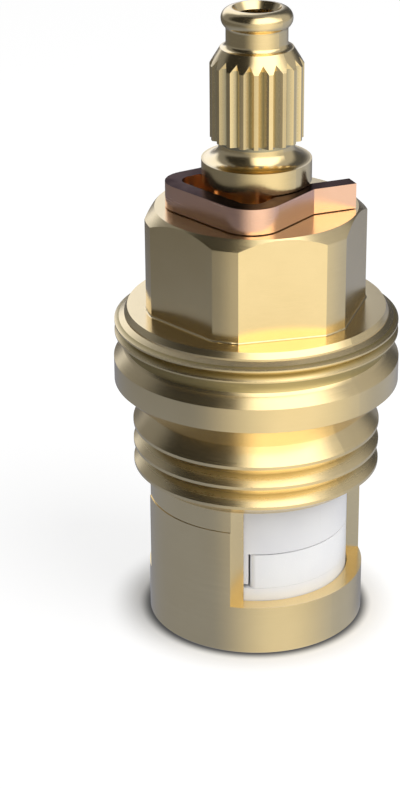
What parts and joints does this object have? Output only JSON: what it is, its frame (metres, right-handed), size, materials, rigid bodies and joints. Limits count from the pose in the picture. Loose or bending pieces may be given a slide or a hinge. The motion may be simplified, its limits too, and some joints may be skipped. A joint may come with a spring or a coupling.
{
  "type": "quarter-turn faucet stem",
  "caption": "Quarter-turn ceramic-disc faucet stem: splined spindle, spring clip, hexagon, threaded body and windowed sleeve.",
  "frame": {"origin": "centre of the sleeve's bottom rim, on the surface that the stem stands on", "axes": "+Z along the spindle towards the handle, +X and -X out of the two windows"},
  "size_m": [0.024, 0.024, 0.0536],
  "materials": {
    "turned_brass": "fine turned, satin",
    "spindle_brass": "polished, fine turned",
    "copper_strip": "copper-coloured strip, smooth",
    "black_rubber": "smooth moulded",
    "white_plastic": "fine matt moulding",
    "white_ceramic": "lapped alumina",
    "steel": "rolled"
  },
  "bodies": {
    "housing": {"body": "turned_brass", "fixed_disc": "white_ceramic", "inlet_seal": "black_rubber", "seal_support_ring": "steel"},
    "rotor": {"spindle": "spindle_brass", "retaining_clip": "copper_strip", "upper_spindle_o_ring": "black_rubber", "lower_spindle_o_ring": "black_rubber", "slip_washer": "white_plastic", "disc_driver": "white_plastic", "moving_disc": "white_ceramic"}
  },
  "joints": [
    {"name": "spindle_turn", "type": "hinge", "parent": "housing", "child": "rotor", "pos_m": [0, 0, 0.02], "axis": [0, 0, 1], "range_deg": [0, 90]}
  ]
}
